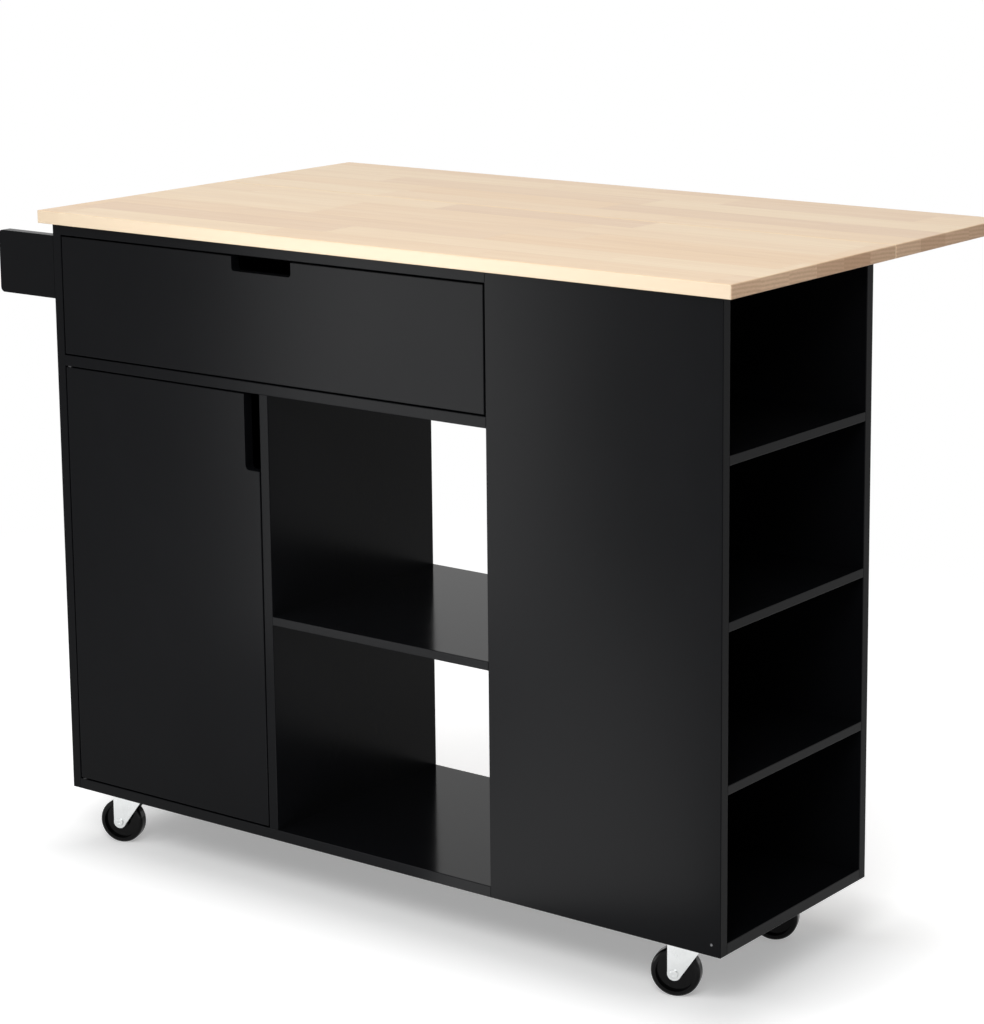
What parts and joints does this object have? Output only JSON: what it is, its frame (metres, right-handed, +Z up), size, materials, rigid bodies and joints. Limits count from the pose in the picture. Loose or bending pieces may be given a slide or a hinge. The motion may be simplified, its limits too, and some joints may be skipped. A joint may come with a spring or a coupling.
{
  "type": "kitchen island cart",
  "caption": "Wheeled kitchen island cart with a drop-leaf butcher-block worktop, a wide drawer, a door cupboard, an open bay, end shelves and a bottle rack.",
  "frame": {"origin": "on the floor, below the middle of the whole cart with its leaf raised", "axes": "+Z up, +X along the worktop towards the end shelves, the drawer and the door face -Y, the leaf is at +Y"},
  "size_m": [1.228, 0.664, 0.915],
  "materials": {
    "worktop_wood": "clear satin lacquer on finger-jointed rubberwood",
    "black_lacquer": "black satin lacquer on fibreboard",
    "drawer_board": "black melamine",
    "zinc_steel": "bright zinc plate",
    "chrome_rod": "polished chrome",
    "black_nylon": "plain moulded nylon",
    "wheel_black": "glossy moulded plastic"
  },
  "bodies": {
    "cabinet": {"main_worktop": "worktop_wood", "leaf_hinge_fixed_flaps": "zinc_steel", "leaf_hinge_pins": "zinc_steel", "stay_tracks": "zinc_steel", "left_side_panel": "black_lacquer", "bottom_board": "black_lacquer", "divider_panel": "black_lacquer", "drawer_deck": "black_lacquer", "top_front_rail": "black_lacquer", "drawer_back_panel": "black_lacquer", "cupboard_back_panel": "black_lacquer", "bay_shelf": "black_lacquer", "adjustable_shelf": "black_lacquer", "shelf_pins": "zinc_steel", "end_inner_panel": "black_lacquer", "end_front_panel": "black_lacquer", "end_back_panel": "black_lacquer", "end_floor_board": "black_lacquer", "end_shelf_upper": "black_lacquer", "end_shelf_middle": "black_lacquer", "end_shelf_lower": "black_lacquer", "runner_cabinet_members": "zinc_steel", "door_pivot_bushes": "black_nylon", "door_catch": "black_nylon", "rack_front_plate": "black_lacquer", "rack_back_plate": "black_lacquer", "rack_floor": "black_lacquer", "rack_guard_rod": "chrome_rod", "caster_plates": "zinc_steel", "caster_kingpins": "zinc_steel"},
    "leaf": {"drop_leaf": "worktop_wood", "leaf_hinge_moving_flaps": "zinc_steel", "stay_brackets": "zinc_steel", "stay_pivot_pins": "zinc_steel"},
    "stay_left": {"stay_strut_left": "zinc_steel"},
    "stay_right": {"stay_strut_right": "zinc_steel"},
    "drawer": {"drawer_front": "black_lacquer", "drawer_side_left": "drawer_board", "drawer_side_right": "drawer_board", "drawer_back": "drawer_board", "drawer_bottom": "drawer_board", "runner_drawer_members": "zinc_steel"},
    "runner_cages": {"runner_ball_cages": "zinc_steel"},
    "door": {"door_panel": "black_lacquer", "door_pivot_pins": "zinc_steel", "door_strike_plate": "zinc_steel"},
    "caster_front_left": {"caster_fork_front_left": "zinc_steel", "caster_axle_front_left": "zinc_steel"},
    "wheel_front_left": {"wheel_front_left": "wheel_black"},
    "caster_front_right": {"caster_fork_front_right": "zinc_steel", "caster_axle_front_right": "zinc_steel"},
    "wheel_front_right": {"wheel_front_right": "wheel_black"},
    "caster_back_left": {"caster_fork_back_left": "zinc_steel", "caster_axle_back_left": "zinc_steel"},
    "wheel_back_left": {"wheel_back_left": "wheel_black"},
    "caster_back_right": {"caster_fork_back_right": "zinc_steel", "caster_axle_back_right": "zinc_steel"},
    "wheel_back_right": {"wheel_back_right": "wheel_black"}
  },
  "joints": [
    {"name": "leaf_fold", "type": "hinge", "parent": "cabinet", "child": "leaf", "pos_m": [0.045, 0.046, 0.8935], "axis": [-1, 0, 0], "range_deg": [0, 90]},
    {"name": "stay_left_turn", "type": "hinge", "parent": "leaf", "child": "stay_left", "pos_m": [-0.317, 0.176, 0.888], "axis": [1, 0, 0], "range_deg": [0, 140.93]},
    {"name": "stay_right_turn", "type": "hinge", "parent": "leaf", "child": "stay_right", "pos_m": [0.407, 0.176, 0.888], "axis": [1, 0, 0], "range_deg": [0, 140.93]},
    {"name": "drawer_slide", "type": "slide", "parent": "cabinet", "child": "drawer", "axis": [0, -1, 0], "range_m": [0, 0.225]},
    {"name": "runner_cage_slide", "type": "slide", "parent": "cabinet", "child": "runner_cages", "axis": [0, -1, 0], "range_m": [0, 0.1125]},
    {"name": "door_hinge", "type": "hinge", "parent": "cabinet", "child": "door", "pos_m": [-0.485, -0.318, 0.3995], "axis": [0, 0, -1], "range_deg": [0, 110]},
    {"name": "caster_front_left_swivel", "type": "hinge", "parent": "cabinet", "child": "caster_front_left", "pos_m": [-0.434, -0.265, 0.078], "axis": [0, 0, 1], "continuous": true},
    {"name": "wheel_front_left_spin", "type": "hinge", "parent": "caster_front_left", "child": "wheel_front_left", "pos_m": [-0.45749, -0.27355, 0.032], "axis": [-0.342, 0.9397, 0], "continuous": true},
    {"name": "caster_front_right_swivel", "type": "hinge", "parent": "cabinet", "child": "caster_front_right", "pos_m": [0.524, -0.265, 0.078], "axis": [0, 0, 1], "continuous": true},
    {"name": "wheel_front_right_spin", "type": "hinge", "parent": "caster_front_right", "child": "wheel_front_right", "pos_m": [0.50051, -0.27355, 0.032], "axis": [-0.342, 0.9397, 0], "continuous": true},
    {"name": "caster_back_left_swivel", "type": "hinge", "parent": "cabinet", "child": "caster_back_left", "pos_m": [-0.434, -0.0365, 0.078], "axis": [0, 0, 1], "continuous": true},
    {"name": "wheel_back_left_spin", "type": "hinge", "parent": "caster_back_left", "child": "wheel_back_left", "pos_m": [-0.45749, -0.04505, 0.032], "axis": [-0.342, 0.9397, 0], "continuous": true},
    {"name": "caster_back_right_swivel", "type": "hinge", "parent": "cabinet", "child": "caster_back_right", "pos_m": [0.524, -0.0365, 0.078], "axis": [0, 0, 1], "continuous": true},
    {"name": "wheel_back_right_spin", "type": "hinge", "parent": "caster_back_right", "child": "wheel_back_right", "pos_m": [0.50051, -0.04505, 0.032], "axis": [-0.342, 0.9397, 0], "continuous": true}
  ],
  "couplings": [
    {"joint": "stay_left_turn", "follows": "leaf_fold", "ratio": 1.5653},
    {"joint": "stay_right_turn", "follows": "leaf_fold", "ratio": 1.5653},
    {"joint": "runner_cage_slide", "follows": "drawer_slide", "ratio": 0.5}
  ]
}
